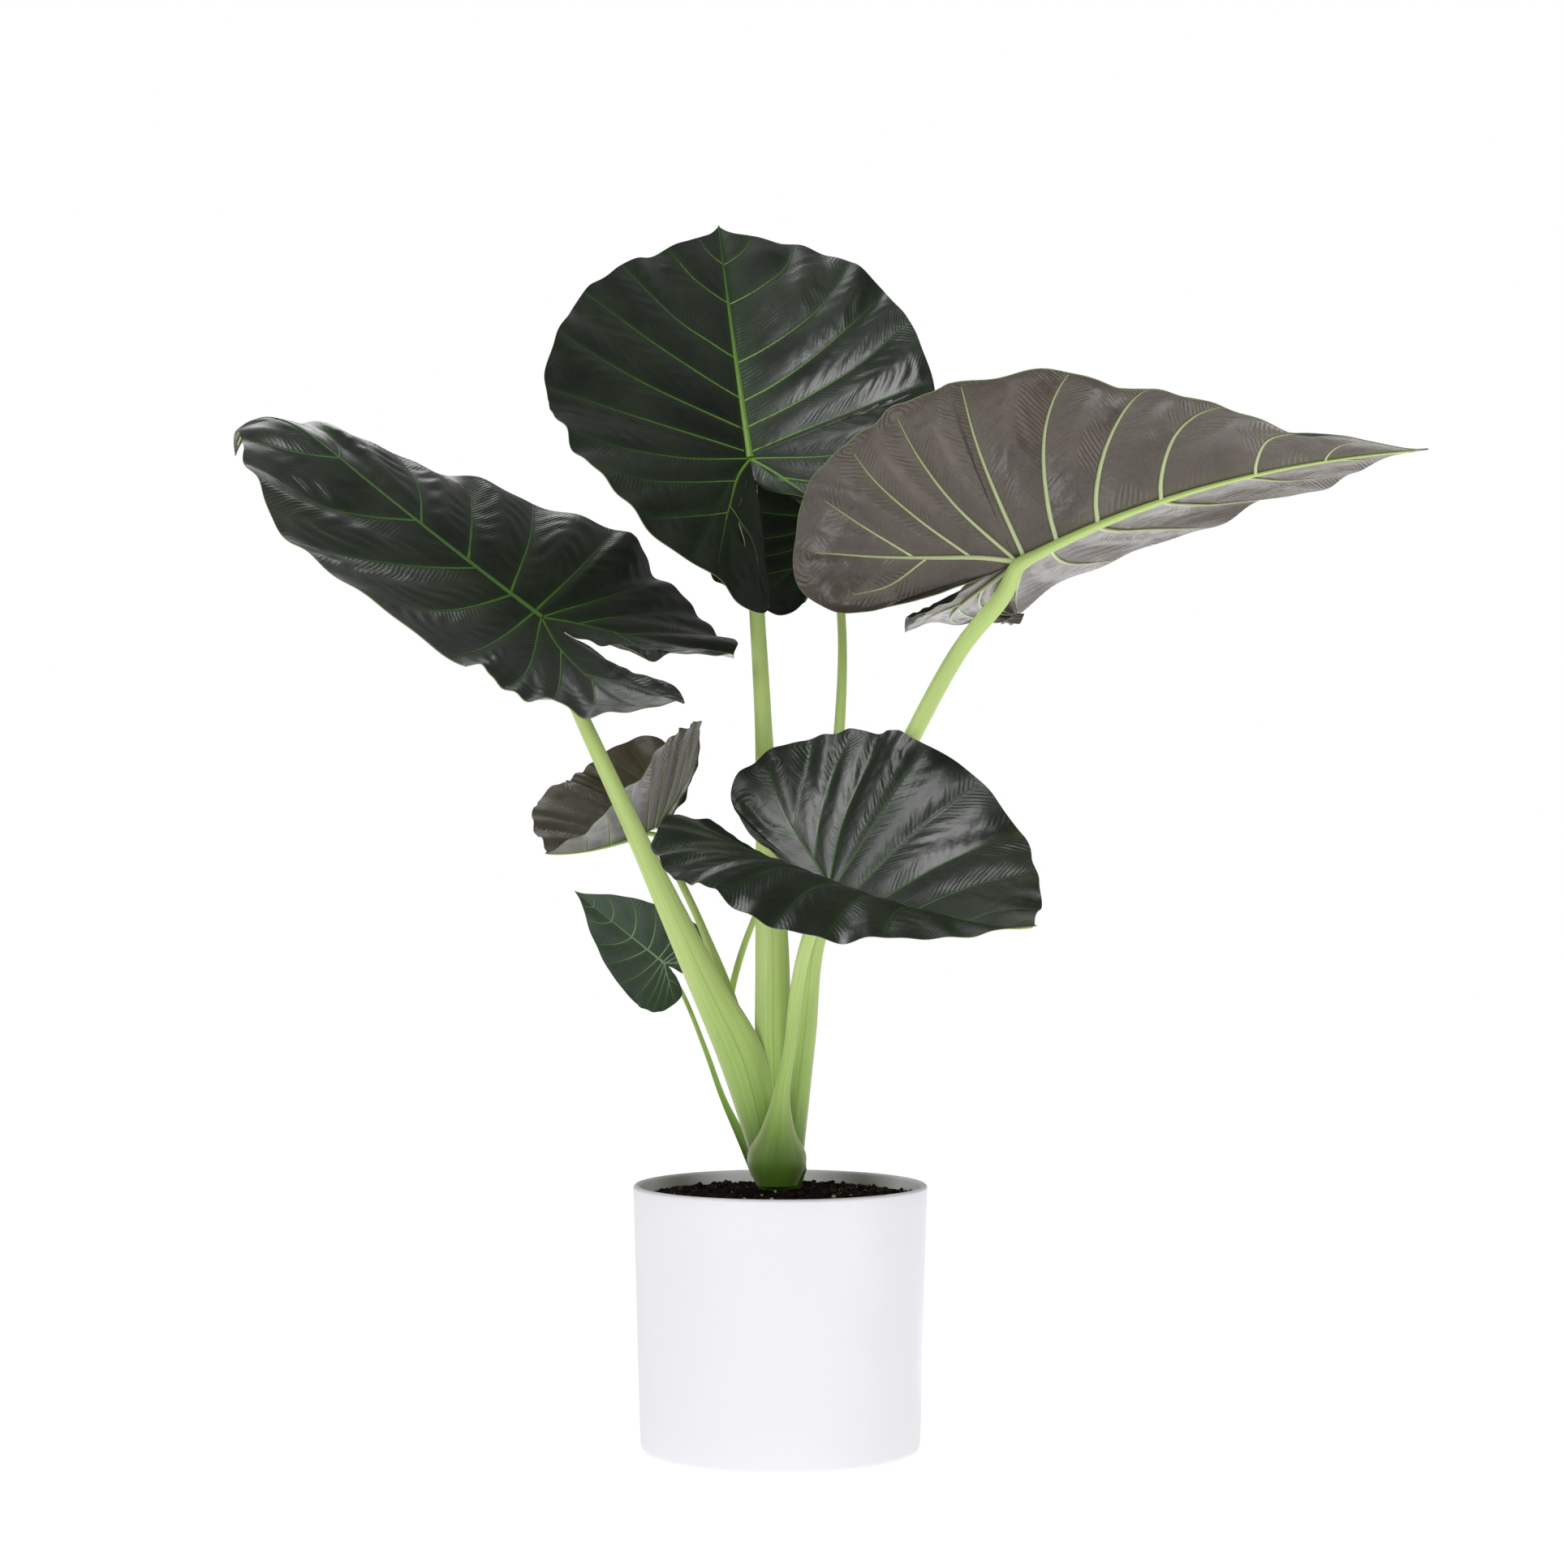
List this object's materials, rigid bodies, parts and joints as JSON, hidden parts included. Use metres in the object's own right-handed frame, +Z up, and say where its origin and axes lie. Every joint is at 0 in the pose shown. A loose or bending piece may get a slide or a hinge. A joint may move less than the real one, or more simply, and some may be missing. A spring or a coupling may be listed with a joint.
{
  "type": "potted alocasia",
  "caption": "Houseplant with large arrow-shaped dark green leaves on long pale green stalks, rooted in soil in a plain round white planter.",
  "frame": {"origin": "centre of the planter's flat underside, on the surface it stands on", "axes": "+Z up; +X to the plant's right seen from the front; +Y to the back; the plant is seen from -Y"},
  "size_m": [1.0201, 0.629, 1.1201],
  "materials": {
    "planter_plastic": "moulded matte white plastic with a soft rounded lip",
    "potting_mix": "dark crumbly potting mix with a few pale grains",
    "stem": "smooth waxy stem base, finely streaked lengthwise",
    "stalk": "smooth waxy leaf stalk, pale green, finely streaked lengthwise",
    "leaf": "glossy dark green upper side with green veins, brown-grey underside with pale raised veins",
    "young_leaf": "glossy olive-brown young leaf with pale green veins"
  },
  "bodies": {
    "root": {"planter": "planter_plastic", "potting_soil": "potting_mix", "stem_base": "stem", "petiole_crown": "stalk", "blade_crown": "leaf", "petiole_back": "stalk", "blade_back": "leaf", "petiole_right": "stalk", "blade_right": "leaf", "petiole_left": "stalk", "blade_left": "leaf", "petiole_front": "stalk", "blade_front": "leaf", "petiole_young": "stalk", "blade_young": "young_leaf", "petiole_low": "stalk", "blade_low": "leaf", "petiole_hidden": "stalk", "blade_hidden": "leaf"}
  },
  "joints": []
}
